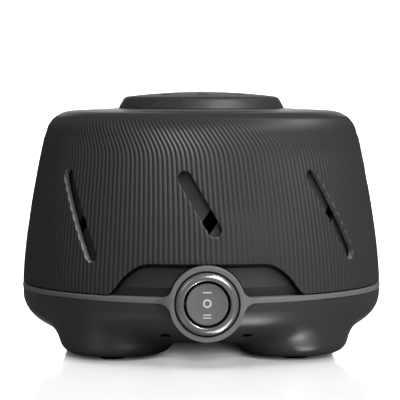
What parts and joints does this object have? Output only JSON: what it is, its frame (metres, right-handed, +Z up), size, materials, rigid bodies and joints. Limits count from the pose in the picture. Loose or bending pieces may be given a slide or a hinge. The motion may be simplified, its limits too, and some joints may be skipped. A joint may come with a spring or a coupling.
{
  "type": "white noise sound machine",
  "caption": "Squat round fan-type sound machine with a ribbed turning collar with slanted slots, a turning cap, lobed feet and a round rocker switch.",
  "frame": {"origin": "on the surface the machine stands on, under the middle of the machine", "axes": "+Z up along the turning axis of collar, cap and fan; the switch faces -Y and the cord inlet +Y"},
  "size_m": [0.146, 0.1508, 0.1043],
  "materials": {
    "base_plastic": "charcoal, fine spark texture",
    "trim_plastic": "mid grey, satin",
    "housing_plastic": "charcoal, satin",
    "collar_plastic": "charcoal, satin, ribbed",
    "cap_plastic": "charcoal, fine spark texture",
    "bezel_gloss": "polished grey",
    "rocker_plastic": "mid grey, satin, white marks",
    "switch_black": "black",
    "rubber": "black",
    "steel": "zinc plated",
    "laminations": "stacked sheet steel",
    "copper": "enamelled copper",
    "brass": "stamped",
    "bronze": "sintered bronze",
    "nylon": "natural nylon",
    "felt": "pressed felt",
    "wire": "insulated stranded wire"
  },
  "bodies": {
    "base": {"base_shell": "base_plastic", "trim_band": "trim_plastic", "inner_housing": "housing_plastic", "slip_ring": "felt", "switch_bezel": "bezel_gloss", "switch_body": "switch_black", "switch_terminals": "brass", "rubber_feet": "rubber", "housing_screws": "steel", "cord_gland": "rubber", "motor_plate": "steel", "plate_grommets": "rubber", "plate_screws": "steel", "stator_core": "laminations", "coil_bobbin": "nylon", "coil_winding": "copper", "shading_loops": "copper", "lower_bracket": "steel", "upper_bracket": "steel", "bearings": "bronze", "motor_screws": "steel", "motor_spacers": "steel", "motor_nuts": "steel", "motor_leads": "wire", "wire_connector": "nylon"},
    "collar": {"collar": "collar_plastic"},
    "cap": {"cap": "cap_plastic", "cap_clip": "steel"},
    "rocker": {"rocker": "rocker_plastic"},
    "fan": {"fan_wheel": "nylon", "shaft": "steel", "rotor_core": "laminations", "thrust_washers": "nylon"}
  },
  "joints": [
    {"name": "collar_turn", "type": "hinge", "parent": "base", "child": "collar", "pos_m": [0, 0, 0.06], "axis": [0, 0, 1], "range_deg": [-16, 16]},
    {"name": "cap_turn", "type": "hinge", "parent": "base", "child": "cap", "pos_m": [0, 0, 0.1], "axis": [0, 0, 1], "range_deg": [-22.5, 22.5]},
    {"name": "rocker_tilt", "type": "hinge", "parent": "base", "child": "rocker", "pos_m": [0, -0.071, 0.0251], "axis": [1, 0, 0], "range_deg": [-7, 7]},
    {"name": "fan_spin", "type": "hinge", "parent": "base", "child": "fan", "pos_m": [0, 0, 0.06], "axis": [0, 0, 1], "continuous": true}
  ]
}
